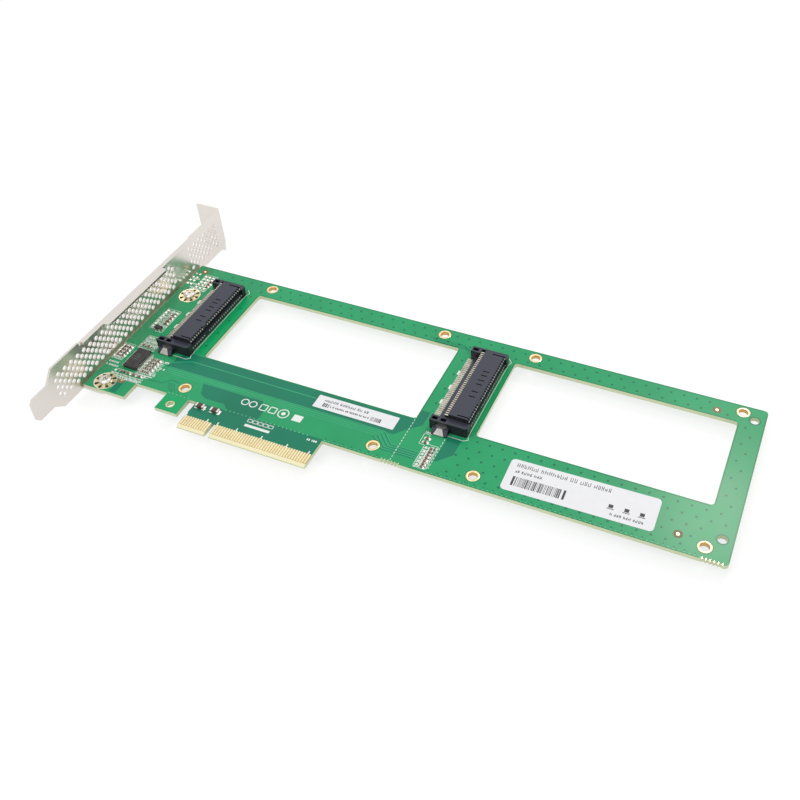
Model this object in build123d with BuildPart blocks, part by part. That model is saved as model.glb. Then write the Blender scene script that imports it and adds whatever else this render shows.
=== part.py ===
from build123d import *
import os

# Storage adapter card, in millimetres. X runs along the card from the bracket to the far end,
# Y from the edge contacts to the top edge, Z from the solder side to the component side.
# The origin is under the middle of the card's bounding box.

# Sheet steel bracket
bracket_length = 120.02
bracket_width = 18.42
sheet = 0.86
bend_radius = 0.6
flange_reach = 11.43
flange_ear = 3.17
ear_relief = 1.6
ear_chamfer = 1.5
flange_slot_width = 4.42
flange_slot_offset = 6.6
flange_slot_depth = 7.3
tongue_width = 10.19
tongue_shoulder = 4.8
shoulder_start = 12.8
taper_length = 4.0
tip_chamfer = 1.6
lip_start = 28.4
lip_length = 68.2
lip_narrow = 1.75
lip_wide = 4.0
lip_wide_start = 11.5
lip_wide_length = 36.4
lip_corner = 1.2
lip_relief = 0.8
lip_fold_radius = 0.8
tab_width = 9.0
screw_from_plate = 7.4
upper_screw_drop = 18.9
lower_screw_drop = 3.0

# Bracket ventilation: staggered rows of hexagonal holes in two fields
vent_flats = 1.8
vent_pitch = 3.5
vent_row_step = 1.58
vent_rows = 7
vent_start = 13.25
vent_blank_band = 12.45
upper_vent_columns = 6
upper_vent_drop = 24.32

# Circuit board
board_thickness = 1.57
board_length = 234.6
board_gap = 0.7
top_edge_drop = 19.9
hole_to_top_edge = 3.38
hole_to_lower_edge = 4.7
board_corner = 1.5
foot_width = 18.2
foot_drop = 7.5
hold_tab_start = 31.9
hold_tab_width = 9.3
hold_tab_drop = 7.8
hold_hole_radius = 1.3
hold_hole_start = 36.3
hold_hole_drop = 4.4
key_from_plate = 57.4
key_to_left = 12.15
edge_width = 51.3
edge_drop = 12.5
key_width = 1.9
key_height = 7.4
edge_bevel_height = 1.2
edge_bevel_depth = 0.45
window_corner = 1.3
window_above_hole = 17.0
window_below_hole = 5.3
windows = [(33.4, 87.9), (143.9, 81.7)]
bite_radius = 0.45
bite_pitch = 1.25
bite_count = 5
bite_starts = [121.5, 229.6]

# Copper and gold on the board
copper = 0.06
contact_pitch = 1.0
contact_width = 0.7
contact_length = 4.4
contact_rise = 1.3
contact_margin = 1.5
contacts_before_key = 11
contacts_after_key = 38
land_radius = 4.4
screw_hole_radius = 1.7
land_sides = 16
land_via_circle = 3.45
land_via_radius = 0.55
land_via_count = 8
via_sides = 6
fiducial_radius = 0.6
fiducial_places = [(3.8, 66.5), (12.2, -0.5), (217.7, 64.3), (217.7, 6.5)]

# Drive holes: four for each drive, on the hole pattern of a 2.5 inch drive
drive_spacing_x = 76.6
drive_spacing_y = 61.72
drive_step = 113.45
drive_hole_radius = 1.65
ring_radius = 2.5
ring_sides = 8
first_hole_start = 36.4
plain_hole_radius = 1.6
plain_hole_inset = 3.7
plain_hole_spacing = 54.2
plain_hole_drop = 6.15

# Bracket screws
head_radius = 2.4
head_height = 1.5
head_bevel = 0.6
head_sides = 24
shank_radius = 1.25
shank_past_tab = 0.7
recess_width = 0.8
recess_length = 2.8
recess_depth = 0.8

# Drive receptacle, measured from its mating face, its middle and the board's top face
receptacle_before_hole = 8.6
receptacle_middle_rise = 35.0
housing_length = 40.6
housing_depth = 13.6
housing_lift = 0.15
body_height = 6.2
body_depth = 7.6
end_length = 2.8
end_height = 4.3
end_reach = 0.5
mouth_chamfer = 0.6
rail_height = 1.3
rail_thickness = 0.9
rail_start = 9.6
rail_depth = 2.4
throat_height = 2.0
throat_middle = 3.3
throat_depth = 5.5
throat_end_wall = 0.2
groove_rise = 2.65
groove_width = 0.62
groove_pitch = 1.27
near_grooves = 7
groove_gap = 3.35
groove_margin = 0.5
rib_groove_width = 0.5
rib_groove_depth = 0.7
rib_groove_step = 0.6
rib_groove_length = 4.6
top_slot_length = 2.4
top_slot_width = 0.45
top_slot_depth = 0.4
top_slot_back = 3.35
top_slot_places = [-6.5, -3.9, 0.0, 2.2, 4.8, 7.0]
pocket_length = 2.1
pocket_width = 1.4
pocket_depth = 1.6
pocket_places = [1.6, 4.8]
ear_length = 5.8
ear_reach = 2.5
ear_height = 2.2
ear_shelf = 1.2
ear_toe = 0.6
ear_back = 9.1

# Receptacle metal
blade_width = 0.36
blade_thickness = 0.3
blade_length = 4.2
tail_width = 0.5
tail_thickness = 0.25
tail_pitch = 1.0
tail_exit_height = 5.3
tail_shelf = 1.5
tail_reach = 14.5
clip_thickness = 0.25
clip_shoulder = 4.4
clip_waist = 1.7
clip_foot = 3.8

# Clock buffer chip
chip_from_plate = 11.7
chip_rise = 10.7
chip_width = 5.3
chip_length = 10.2
chip_height = 1.75
chip_lift = 0.1
chip_bevel = 0.35
chip_lead_pitch = 0.65
chip_leads_per_side = 14
chip_lead_width = 0.3
chip_lead_thickness = 0.2
chip_lead_rise = 0.8
chip_lead_shoulder = 0.45
chip_span = 7.8
chip_foot = 0.6

# Small parts soldered to the board: length, width and height
edge_capacitor = (3.4, 1.7, 1.2)
edge_capacitor_cap = 0.7
edge_capacitor_starts = [47.4, 53.6]
edge_capacitor_drop = 1.6
small_part = (1.6, 0.8, 0.5)
regulator = (2.9, 1.6, 1.1)
regulator_start = 7.2
regulator_rise = 29.1
regulator_lead_width = 0.45
regulator_lead_length = 0.6
regulator_lead_pitch = 0.95

# Blocks of small parts: start from the board's end, rise over the feature or edge that the block
# goes with, columns, rows and their pitches
chip_left_block = (3.0, 2.6, 2, 4, 2.1, 1.6)
chip_right_block = (17.8, -1.0, 2, 5, 2.1, 1.7)
chip_lower_block = (13.4, -7.3, 4, 1, 2.6, 1.0)
chip_upper_block = (9.2, 7.9, 2, 1, 2.3, 1.5)
regulator_block = (8.2, 5.9, 1, 4, 2.2, 1.7)
top_edge_block = (10.1, -10.1, 1, 3, 2.0, 1.6)
bus_end_block = (132.4, 6.2, 1, 7, 1.9, 1.4)
drive_2_block = (129.2, 13.4, 1, 2, 2.0, 1.8)

# Labels
label_thickness = 0.12
product_label = (50.7, 13.7)
product_label_corner = 1.5
product_label_start = 184.9
product_label_rise = 10.5
product_label_tilt = 1.2
serial_label = (31.8, 6.1)
serial_label_corner = 0.3
serial_label_start = 100.3
serial_label_rise = 16.7

# Places worked out from the sizes above
overall_length = flange_reach + board_gap + board_length
plate_x = flange_reach - overall_length / 2
flange_tip_x = plate_x - flange_reach
tip_y = -bracket_length / 2
flange_y = bracket_length / 2
bend_y = flange_y - sheet - bend_radius
plate_low = flange_ear
plate_high = plate_low + bracket_width
tongue_high = plate_high - tongue_shoulder
tongue_low = tongue_high - tongue_width
shoulder_y = tip_y + shoulder_start
lip_y = tip_y + lip_start
vent_low_z = plate_low + bracket_width / 2 - (vent_rows - 1) * vent_row_step / 2
upper_vent_start = bracket_length - upper_vent_drop
vent_columns = round((upper_vent_start - vent_blank_band - vent_start) / vent_pitch)
board_bottom = plate_low + sheet
board_top = board_bottom + board_thickness
board_left = plate_x + board_gap
board_right = board_left + board_length
top_edge_y = flange_y - top_edge_drop
first_hole_y = top_edge_y - hole_to_top_edge - drive_spacing_y
lower_edge_y = first_hole_y - hole_to_lower_edge
hold_tab_x = board_left + hold_tab_start
key_x = plate_x + key_from_plate
edge_left = key_x - key_to_left
edge_right = edge_left + edge_width
edge_bottom_y = lower_edge_y - edge_drop
contact_low_y = edge_bottom_y + contact_rise
window_height = drive_spacing_y - window_above_hole - window_below_hole
window_y = first_hole_y + window_above_hole + window_height / 2
land_top = board_top + copper
screw_x = plate_x + screw_from_plate
screw_places = [(screw_x, top_edge_y - upper_screw_drop), (screw_x, lower_edge_y - lower_screw_drop)]
shank_end_z = plate_low - shank_past_tab
first_hole_x = board_left + first_hole_start
drive_corners_x = [first_hole_x, first_hole_x + drive_step]
drive_middle_y = first_hole_y + drive_spacing_y / 2
plain_hole_x = board_right - plain_hole_inset
plain_hole_middle_y = top_edge_y - plain_hole_drop - plain_hole_spacing / 2
receptacle_y = first_hole_y + receptacle_middle_rise
body_half = housing_length / 2 - end_length
near_span = (near_grooves - 1) * groove_pitch
far_grooves = 1 + int((2 * (body_half - groove_margin) - near_span - groove_gap) / groove_pitch)
groove_span = near_span + groove_gap + (far_grooves - 1) * groove_pitch
tail_count = 1 + int(2 * (body_half - groove_margin) / tail_pitch)


def across_plane(x, y, z):
    """Plane that cuts the card along its length, with its own origin, drawn in X and Z."""
    return Plane((x, y, z), x_dir=(1, 0, 0), z_dir=(0, -1, 0))


# The board: outline with foot, hold-down tab, edge tongue and key slot
with BuildPart() as circuit_board:
    with BuildSketch(Plane.XY.offset(board_bottom)) as board_outline:
        with BuildLine():
            Polyline(
                (board_left, top_edge_y),
                (board_right, top_edge_y),
                (board_right, lower_edge_y),
                (edge_right, lower_edge_y),
                (edge_right, edge_bottom_y),
                (key_x + key_width / 2, edge_bottom_y),
                (key_x + key_width / 2, edge_bottom_y + key_height),
                (key_x - key_width / 2, edge_bottom_y + key_height),
                (key_x - key_width / 2, edge_bottom_y),
                (edge_left, edge_bottom_y),
                (edge_left, lower_edge_y),
                (hold_tab_x + hold_tab_width, lower_edge_y),
                (hold_tab_x + hold_tab_width, lower_edge_y - hold_tab_drop),
                (hold_tab_x, lower_edge_y - hold_tab_drop),
                (hold_tab_x, lower_edge_y),
                (board_left + foot_width, lower_edge_y),
                (board_left + foot_width, lower_edge_y - foot_drop),
                (board_left, lower_edge_y - foot_drop),
                close=True,
            )
        make_face()
        fillet(board_outline.vertices().group_by(Axis.X)[-1], board_corner)
    extrude(amount=board_thickness)
    with BuildSketch(Plane.YZ.offset(edge_left)):
        for face_z, inward in [(board_bottom, 1), (board_top, -1)]:
            with BuildLine():
                Polyline(
                    (edge_bottom_y, face_z),
                    (edge_bottom_y, face_z + inward * edge_bevel_depth),
                    (edge_bottom_y + edge_bevel_height, face_z),
                    close=True,
                )
            make_face()
    extrude(amount=edge_width, mode=Mode.SUBTRACT)
    with BuildSketch(Plane.XY.offset(board_bottom)):
        for window_start, window_width in windows:
            with Locations((board_left + window_start + window_width / 2, window_y)):
                RectangleRounded(window_width, window_height, window_corner)
        for corner_x in drive_corners_x:
            with Locations((corner_x + drive_spacing_x / 2, drive_middle_y)):
                with GridLocations(drive_spacing_x, drive_spacing_y, 2, 2):
                    Circle(drive_hole_radius)
        with Locations((plain_hole_x, plain_hole_middle_y)):
            with GridLocations(0, plain_hole_spacing, 1, 2):
                Circle(plain_hole_radius)
        with Locations((board_left + hold_hole_start, lower_edge_y - hold_hole_drop)):
            Circle(hold_hole_radius)
        with Locations(*screw_places):
            RegularPolygon(screw_hole_radius, land_sides)
        for bite_start in bite_starts:
            with Locations((board_left + bite_start, lower_edge_y)):
                with GridLocations(bite_pitch, 0, bite_count, 1):
                    RegularPolygon(bite_radius, via_sides)
    extrude(amount=board_thickness, mode=Mode.SUBTRACT)

# The bracket: bent side profile trimmed to its front outline, then slot, lip, tabs and vent holes
with BuildPart() as bracket:
    with BuildSketch(Plane.XY) as bent_profile:
        with BuildLine():
            Polyline(
                (plate_x, tip_y),
                (plate_x, flange_y),
                (flange_tip_x, flange_y),
                (flange_tip_x, flange_y - sheet),
                (plate_x - sheet, flange_y - sheet),
                (plate_x - sheet, tip_y),
                close=True,
            )
        make_face()
        outer_bend = bent_profile.vertices().sort_by_distance((plate_x, flange_y))[0]
        fillet(outer_bend, bend_radius + sheet)
        inner_bend = bent_profile.vertices().sort_by_distance((plate_x - sheet, flange_y - sheet))[0]
        fillet(inner_bend, bend_radius)
    extrude(amount=plate_high)
    with BuildSketch(Plane.YZ.offset(flange_tip_x)) as front_outline:
        with BuildLine():
            Polyline(
                (tip_y, tongue_low),
                (tip_y, tongue_high),
                (shoulder_y - taper_length, tongue_high),
                (shoulder_y, plate_high),
                (flange_y, plate_high),
                (flange_y, 0),
                (bend_y, 0),
                (bend_y, plate_low),
                (shoulder_y, plate_low),
                (shoulder_y - taper_length, tongue_low),
                close=True,
            )
        make_face()
        chamfer(front_outline.vertices().group_by(Axis.X)[0], tip_chamfer)
    extrude(amount=flange_reach, mode=Mode.INTERSECT)
    with BuildSketch(Plane.XY):
        with Locations((plate_x, flange_y)):
            Rectangle(sheet + bend_radius, sheet + bend_radius, align=(Align.MAX, Align.MAX))
    extrude(amount=plate_low + ear_relief, mode=Mode.SUBTRACT)
    ear_corner = bracket.edges().filter_by(Axis.Y).group_by(Axis.Z)[0].sort_by(Axis.X)[0]
    chamfer(ear_corner, ear_chamfer)
    with BuildSketch(Plane.XZ.offset(-flange_y)):
        slot_end_z = flange_slot_depth - flange_slot_width / 2
        with Locations((plate_x - flange_slot_offset, slot_end_z)):
            Circle(flange_slot_width / 2)
            Rectangle(flange_slot_width, slot_end_z, align=(Align.CENTER, Align.MAX))
    extrude(amount=sheet, mode=Mode.SUBTRACT)
    with BuildSketch(Plane.XY.offset(plate_high - sheet)):
        with Locations((plate_x - sheet, lip_y)):
            Rectangle(sheet + lip_narrow, lip_length, align=(Align.MIN, Align.MIN))
        with Locations((plate_x - sheet, lip_y + lip_wide_start)):
            RectangleRounded(sheet + lip_wide, lip_wide_length, lip_corner, align=(Align.MIN, Align.MIN))
    extrude(amount=sheet)
    with BuildSketch(Plane.YZ.offset(plate_x - sheet)):
        for relief_y in (lip_y - lip_relief / 2, lip_y + lip_length + lip_relief / 2):
            with Locations((relief_y, plate_high)):
                Rectangle(lip_relief, sheet + lip_relief, align=(Align.CENTER, Align.MAX))
    extrude(amount=sheet, mode=Mode.SUBTRACT)
    top_outer_edges = bracket.edges().filter_by(Axis.Y).group_by(Axis.Z)[-1].group_by(Axis.X)[1]
    fillet(top_outer_edges.sort_by(SortBy.LENGTH)[-1], lip_fold_radius)
    with BuildSketch(Plane.XY.offset(plate_low)):
        with Locations(*screw_places):
            Circle(tab_width / 2)
            Rectangle(screw_from_plate, tab_width, align=(Align.MAX, Align.CENTER))
            Circle(shank_radius, mode=Mode.SUBTRACT)
    extrude(amount=sheet)
    with BuildSketch(Plane.YZ.offset(plate_x - sheet)):
        for row in range(vent_rows):
            odd = row % 2
            row_z = vent_low_z + row * vent_row_step
            lower_y = tip_y + vent_start + (1 - odd) * vent_pitch / 2
            upper_y = tip_y + upper_vent_start + odd * vent_pitch / 2
            for first_y, count in [(lower_y, vent_columns + odd), (upper_y, upper_vent_columns - odd)]:
                with Locations((first_y + (count - 1) * vent_pitch / 2, row_z)):
                    with GridLocations(vent_pitch, 0, count, 1):
                        RegularPolygon(vent_flats / 2, 6, major_radius=False)
    extrude(amount=sheet, mode=Mode.SUBTRACT)

# The two pan head screws that hold the board on the bracket's tabs
with BuildPart() as bracket_screws:
    with BuildSketch(Plane.XY.offset(land_top)):
        with Locations(*screw_places):
            RegularPolygon(head_radius, head_sides)
    extrude(amount=head_height)
    chamfer(bracket_screws.faces().group_by(Axis.Z)[-1].edges(), head_bevel)
    with BuildSketch(Plane.XY.offset(land_top)):
        with Locations(*screw_places):
            Circle(shank_radius)
    extrude(amount=shank_end_z - land_top)
    with BuildSketch(Plane.XY.offset(land_top + head_height)):
        with Locations(*screw_places):
            Rectangle(recess_length, recess_width)
            Rectangle(recess_width, recess_length)
    extrude(amount=-recess_depth, mode=Mode.SUBTRACT)

# Gold lands round the bracket screws, each with a circle of small holes
with BuildPart() as screw_lands:
    with BuildSketch(Plane.XY.offset(board_top)):
        with Locations(*screw_places):
            RegularPolygon(land_radius, land_sides)
            RegularPolygon(screw_hole_radius, land_sides, mode=Mode.SUBTRACT)
            with PolarLocations(land_via_circle, land_via_count):
                RegularPolygon(land_via_radius, via_sides, mode=Mode.SUBTRACT)
    extrude(amount=copper)

# Gold fiducial dots
with BuildPart() as fiducials:
    with BuildSketch(Plane.XY.offset(board_top)):
        with Locations(*[(board_left + start, lower_edge_y + rise) for start, rise in fiducial_places]):
            RegularPolygon(fiducial_radius, via_sides)
    extrude(amount=copper)


def drive_hole_rings(corner_x):
    """Gold rings round the four holes of one drive, on both faces of the board."""
    with BuildPart() as rings:
        for ring_low_z in (board_bottom - copper, board_top):
            with BuildSketch(Plane.XY.offset(ring_low_z)):
                with Locations((corner_x + drive_spacing_x / 2, drive_middle_y)):
                    with GridLocations(drive_spacing_x, drive_spacing_y, 2, 2):
                        RegularPolygon(ring_radius, ring_sides)
                        RegularPolygon(drive_hole_radius, ring_sides, major_radius=False, mode=Mode.SUBTRACT)
            extrude(amount=copper)
    return rings


def edge_contacts(low_z):
    """The row of contacts on one face of the edge tongue, interrupted at the key slot."""
    with BuildPart() as contacts:
        with BuildSketch(Plane.XY.offset(low_z)):
            for count, direction in [(contacts_before_key, -1), (contacts_after_key, 1)]:
                row_middle = key_x + direction * (contact_margin + (count - 1) * contact_pitch / 2)
                with Locations((row_middle, contact_low_y + contact_length / 2)):
                    with GridLocations(contact_pitch, 0, count, 1):
                        Rectangle(contact_width, contact_length)
        extrude(amount=copper)
    return contacts


def groove_places(middle_y):
    """Middles of the receptacle's contact grooves: a short group, a gap and a long group."""
    first_y = middle_y - groove_span / 2
    far_first_y = first_y + near_span + groove_gap
    near = [first_y + i * groove_pitch for i in range(near_grooves)]
    far = [far_first_y + i * groove_pitch for i in range(far_grooves)]
    return near + far


def receptacle_housing(front_x):
    """Moulded right-angle receptacle: slotted body, rail over the tails, pocketed ends and ears."""
    near_end_y = receptacle_y - housing_length / 2
    with BuildPart() as housing:
        with BuildSketch(across_plane(front_x, receptacle_y, board_top)):
            with BuildLine():
                Polyline(
                    (0, housing_lift),
                    (0, body_height - mouth_chamfer),
                    (-mouth_chamfer, body_height),
                    (-body_depth, body_height),
                    (-body_depth, housing_lift),
                    close=True,
                )
            make_face()
            with Locations((-rail_start, rail_height)):
                Rectangle(rail_depth, rail_thickness, align=Align.MAX)
        extrude(amount=body_half)
        with BuildSketch(Plane.XY.offset(board_top + housing_lift)) as end_outline:
            with Locations((front_x + end_reach, near_end_y)):
                Rectangle(housing_depth + end_reach, end_length, align=(Align.MAX, Align.MIN))
            chamfer(end_outline.vertices().group_by(Axis.X)[-1].sort_by(Axis.Y)[0], mouth_chamfer)
        extrude(amount=end_height - housing_lift)
        with BuildSketch(Plane.XY.offset(board_top + end_height)):
            for pocket_place in pocket_places:
                with Locations((front_x - housing_depth + pocket_place, near_end_y + end_length / 2)):
                    Rectangle(pocket_length, pocket_width)
        extrude(amount=-pocket_depth, mode=Mode.SUBTRACT)
        with BuildSketch(Plane.YZ.offset(front_x - ear_back - ear_length / 2)):
            with BuildLine():
                Polyline(
                    (near_end_y, board_top + housing_lift),
                    (near_end_y, board_top + ear_height),
                    (near_end_y - ear_shelf, board_top + ear_height),
                    (near_end_y - ear_reach, board_top + ear_toe),
                    (near_end_y - ear_reach, board_top + housing_lift),
                    close=True,
                )
            make_face()
        extrude(amount=ear_length)
        with BuildSketch(Plane.XY.offset(board_top + body_height)):
            with Locations((front_x, receptacle_y - body_half + rib_groove_step)):
                Rectangle(rib_groove_length, rib_groove_width, align=(Align.MAX, Align.MIN))
        extrude(amount=-rib_groove_depth, mode=Mode.SUBTRACT)
        mirror(about=Plane.XZ.offset(-receptacle_y))
        with BuildSketch(Plane.XY.offset(board_top + body_height)):
            for slot_place in top_slot_places:
                with Locations((front_x - top_slot_back, receptacle_y + slot_place)):
                    Rectangle(top_slot_length, top_slot_width)
        extrude(amount=-top_slot_depth, mode=Mode.SUBTRACT)
        with BuildSketch(Plane.YZ.offset(front_x)):
            with Locations((receptacle_y, board_top + throat_middle)):
                Rectangle(2 * (body_half - throat_end_wall), throat_height)
            with Locations(*[(place, board_top + throat_middle) for place in groove_places(receptacle_y)]):
                Rectangle(groove_width, groove_rise, align=(Align.CENTER, Align.MIN))
        extrude(amount=-throat_depth, mode=Mode.SUBTRACT)
    return housing


def receptacle_contacts(front_x):
    """Spring contacts along the upper wall of the receptacle's throat, one in each groove."""
    blade_z = board_top + throat_middle + (throat_height + blade_thickness) / 2
    with BuildPart() as blades:
        with BuildSketch(Plane.YZ.offset(front_x - throat_depth)):
            with Locations(*[(place, blade_z) for place in groove_places(receptacle_y)]):
                Rectangle(blade_width, blade_thickness)
        extrude(amount=blade_length)
    return blades


def receptacle_tails(front_x):
    """Bent tails out of the body's back: a shelf, a leg down and a foot under the rail."""
    with BuildPart() as tails:
        for tail in range(tail_count):
            middle_y = receptacle_y + (tail - (tail_count - 1) / 2) * tail_pitch
            with BuildSketch(across_plane(front_x, middle_y + tail_width / 2, board_top)):
                with BuildLine():
                    Polyline(
                        (-body_depth, tail_exit_height),
                        (-body_depth - tail_shelf, tail_exit_height),
                        (-body_depth - tail_shelf, tail_thickness),
                        (-tail_reach, tail_thickness),
                        (-tail_reach, 0),
                        (-body_depth - tail_shelf + tail_thickness, 0),
                        (-body_depth - tail_shelf + tail_thickness, tail_exit_height - tail_thickness),
                        (-body_depth, tail_exit_height - tail_thickness),
                        close=True,
                    )
                make_face()
            extrude(amount=tail_width)
    return tails


def receptacle_clips(front_x):
    """Soldered hold-down clips: waisted strips bent over the ears at both ends of the housing."""
    near_end_y = receptacle_y - housing_length / 2
    waist_y = near_end_y - ear_shelf
    foot_y = near_end_y - ear_reach - clip_thickness
    clip_x = front_x - ear_back
    with BuildPart() as clips:
        with BuildSketch(Plane.YZ.offset(clip_x - clip_shoulder / 2)):
            with BuildLine():
                Polyline(
                    (near_end_y, board_top + ear_height),
                    (near_end_y, board_top + ear_height + clip_thickness),
                    (waist_y - clip_thickness / 2, board_top + ear_height + clip_thickness),
                    (foot_y, board_top + ear_toe),
                    (foot_y, board_top),
                    (foot_y + clip_thickness, board_top),
                    (foot_y + clip_thickness, board_top + ear_toe),
                    (waist_y, board_top + ear_height),
                    close=True,
                )
            make_face()
        extrude(amount=clip_shoulder)
        with BuildSketch(Plane.XY.offset(board_top)):
            with BuildLine():
                Polyline(
                    (clip_x - clip_shoulder / 2, near_end_y),
                    (clip_x + clip_shoulder / 2, near_end_y),
                    (clip_x + clip_waist / 2, waist_y),
                    (clip_x + clip_foot / 2, foot_y),
                    (clip_x - clip_foot / 2, foot_y),
                    (clip_x - clip_waist / 2, waist_y),
                    close=True,
                )
            make_face()
        extrude(amount=ear_height + clip_thickness, mode=Mode.INTERSECT)
        mirror(about=Plane.XZ.offset(-receptacle_y))
    return clips


# The clock buffer chip beside the first receptacle: bevelled body and gull-wing leads
chip_x = plate_x + chip_from_plate
chip_y = lower_edge_y + chip_rise
with BuildPart() as buffer_chip_body:
    with BuildSketch(Plane.XY.offset(board_top + chip_lift)):
        with Locations((chip_x, chip_y)):
            Rectangle(chip_width, chip_length)
    extrude(amount=chip_height - chip_lift)
    chamfer(buffer_chip_body.faces().sort_by(Axis.Z)[-1].edges(), chip_bevel)

with BuildPart() as buffer_chip_leads:
    for lead in range(chip_leads_per_side):
        lead_y = chip_y + (lead - (chip_leads_per_side - 1) / 2) * chip_lead_pitch
        with BuildSketch(across_plane(chip_x, lead_y + chip_lead_width / 2, board_top)):
            with BuildLine():
                Polyline(
                    (chip_width / 2, chip_lead_rise),
                    (chip_width / 2 + chip_lead_shoulder, chip_lead_rise),
                    (chip_span / 2 - chip_foot, chip_lead_thickness),
                    (chip_span / 2, chip_lead_thickness),
                    (chip_span / 2, 0),
                    (chip_span / 2 - chip_foot - chip_lead_thickness, 0),
                    (chip_width / 2, chip_lead_rise - chip_lead_thickness),
                    close=True,
                )
            make_face()
        extrude(amount=chip_lead_width)
    mirror(about=Plane.YZ.offset(chip_x))

# The three-lead regulator above the chip
regulator_x = board_left + regulator_start
regulator_y = lower_edge_y + regulator_rise
with BuildPart() as regulator_body:
    with BuildSketch(Plane.XY.offset(board_top + chip_lift)):
        with Locations((regulator_x, regulator_y)):
            Rectangle(regulator[0], regulator[1])
    extrude(amount=regulator[2] - chip_lift)
    chamfer(regulator_body.faces().sort_by(Axis.Z)[-1].edges(), chip_bevel / 2)

with BuildPart() as regulator_leads:
    with BuildSketch(Plane.XY.offset(board_top)):
        with Locations((regulator_x, regulator_y - regulator[1] / 2)):
            with GridLocations(2 * regulator_lead_pitch, 0, 2, 1):
                Rectangle(regulator_lead_width, regulator_lead_length, align=(Align.CENTER, Align.MAX))
        with Locations((regulator_x, regulator_y + regulator[1] / 2)):
            Rectangle(regulator_lead_width, regulator_lead_length, align=(Align.CENTER, Align.MIN))
    extrude(amount=regulator[2] / 2)


def block_places(block, anchor_y):
    """Middles of the small parts of one block, which rises from its own anchor."""
    start, rise, columns, rows, pitch_x, pitch_y = block
    return [
        (
            board_left + start + (column - (columns - 1) / 2) * pitch_x,
            anchor_y + rise + (row - (rows - 1) / 2) * pitch_y,
        )
        for column in range(columns)
        for row in range(rows)
    ]


# Blocks of small two-ended parts, most of them round the buffer chip
small_part_places = (
    block_places(chip_left_block, chip_y)
    + block_places(chip_right_block, chip_y)
    + block_places(chip_lower_block, chip_y)
    + block_places(chip_upper_block, chip_y)
    + block_places(regulator_block, regulator_y)
    + block_places(top_edge_block, top_edge_y)
    + block_places(bus_end_block, lower_edge_y)
    + block_places(drive_2_block, lower_edge_y)
)
with BuildPart() as small_parts:
    with BuildSketch(Plane.XY.offset(board_top)):
        with Locations(*small_part_places):
            Rectangle(small_part[0], small_part[1])
    extrude(amount=small_part[2])

# The two larger capacitors on the edge tongue, with tinned caps at both ends
edge_capacitor_places = [
    (board_left + start, lower_edge_y - edge_capacitor_drop) for start in edge_capacitor_starts
]
with BuildPart() as edge_capacitor_bodies:
    with BuildSketch(Plane.XY.offset(board_top)):
        with Locations(*edge_capacitor_places):
            Rectangle(edge_capacitor[0] - 2 * edge_capacitor_cap, edge_capacitor[1])
    extrude(amount=edge_capacitor[2])

with BuildPart() as edge_capacitor_caps:
    with BuildSketch(Plane.XY.offset(board_top)):
        with Locations(*edge_capacitor_places):
            with GridLocations(edge_capacitor[0] - edge_capacitor_cap, 0, 2, 1):
                Rectangle(edge_capacitor_cap, edge_capacitor[1])
    extrude(amount=edge_capacitor[2])


def board_label(size, corner, start, rise, tilt):
    """Paper label with rounded corners, stuck on the board."""
    with BuildPart() as label:
        with BuildSketch(Plane.XY.offset(board_top)):
            with Locations(Location((board_left + start, lower_edge_y + rise, 0), (0, 0, tilt))):
                RectangleRounded(size[0], size[1], corner)
        extrude(amount=label_thickness)
    return label


pieces = {
    "circuit_board": circuit_board,
    "bracket": bracket,
    "bracket_screws": bracket_screws,
    "screw_lands": screw_lands,
    "fiducials": fiducials,
    "edge_contacts_component_side": edge_contacts(board_top),
    "edge_contacts_solder_side": edge_contacts(board_bottom - copper),
    "buffer_chip_body": buffer_chip_body,
    "buffer_chip_leads": buffer_chip_leads,
    "regulator_body": regulator_body,
    "regulator_leads": regulator_leads,
    "small_parts": small_parts,
    "edge_capacitor_bodies": edge_capacitor_bodies,
    "edge_capacitor_caps": edge_capacitor_caps,
    "product_label": board_label(
        product_label, product_label_corner, product_label_start, product_label_rise, product_label_tilt
    ),
    "serial_label": board_label(serial_label, serial_label_corner, serial_label_start, serial_label_rise, 0),
}
for number, corner_x in enumerate(drive_corners_x, start=1):
    front_x = corner_x - receptacle_before_hole
    pieces[f"drive_{number}_hole_rings"] = drive_hole_rings(corner_x)
    pieces[f"receptacle_{number}_housing"] = receptacle_housing(front_x)
    pieces[f"receptacle_{number}_contacts"] = receptacle_contacts(front_x)
    pieces[f"receptacle_{number}_tails"] = receptacle_tails(front_x)
    pieces[f"receptacle_{number}_clips"] = receptacle_clips(front_x)

os.makedirs("parts", exist_ok=True)
for name, piece in pieces.items():
    piece.part.label = name
    export_step(piece.part, f"parts/{name}.step")
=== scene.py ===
"""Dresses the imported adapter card: materials, printing, solder, screws and a plain studio stage."""

import math
import random

import bmesh
import bpy
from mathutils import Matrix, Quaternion, Vector


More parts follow.
